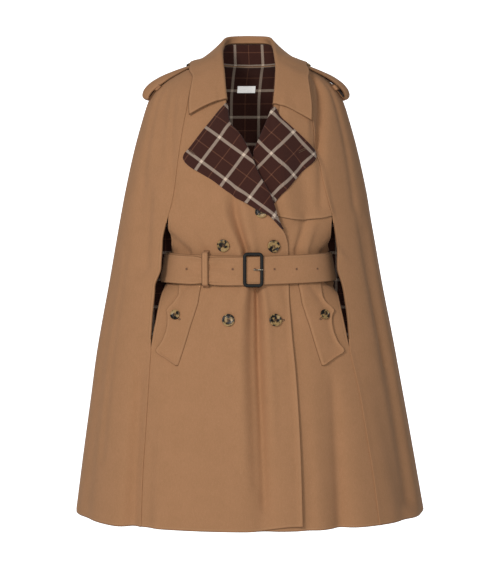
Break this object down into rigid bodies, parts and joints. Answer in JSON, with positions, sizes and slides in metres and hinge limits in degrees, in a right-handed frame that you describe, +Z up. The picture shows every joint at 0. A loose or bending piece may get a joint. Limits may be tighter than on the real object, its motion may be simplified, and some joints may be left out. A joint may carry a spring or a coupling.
{
  "type": "trench cape",
  "caption": "double-breasted trench cape of camel double-faced wool with a dark checked inside, arm slits, storm flap, shoulder straps and a buckled belt, kept in its worn form",
  "frame": {"origin": "midway between the neck points of the two shoulder seams, where the wearer's shoulders carry the cape", "axes": "+Z up, -Y the wearer's front, +X the wearer's left"},
  "size_m": [0.7133, 0.4311, 0.9803],
  "materials": {
    "wool": "brushed camel face of a double-faced wool",
    "check": "dark brown checked face of the same double-faced wool",
    "label": "plain white woven tape, blank",
    "leather": "smooth dark leather over a rigid frame",
    "metal": "dulled metal",
    "horn": "polished, mottled dark and amber"
  },
  "bodies": {
    "root": {"back": "wool", "right_side": "wool", "left_side": "wool", "right_front": "wool", "left_front": "wool", "right_pocket_flap": "wool", "left_pocket_flap": "wool", "right_shoulder_strap": "wool", "left_shoulder_strap": "wool", "right_strap_loop": "wool", "left_strap_loop": "wool", "right_lapel": "check", "left_lapel": "check", "storm_flap": "wool", "collar_fall": "wool", "collar_stand": "check", "neck_label": "label", "belt": "wool", "belt_keeper": "wool", "buckle_frame": "leather", "buckle_pin": "metal", "button_top_left": "horn", "button_upper_right": "horn", "button_upper_left": "horn", "button_lower_right": "horn", "button_lower_left": "horn", "right_pocket_button": "horn", "left_pocket_button": "horn", "right_strap_button": "horn", "left_strap_button": "horn"}
  },
  "joints": []
}
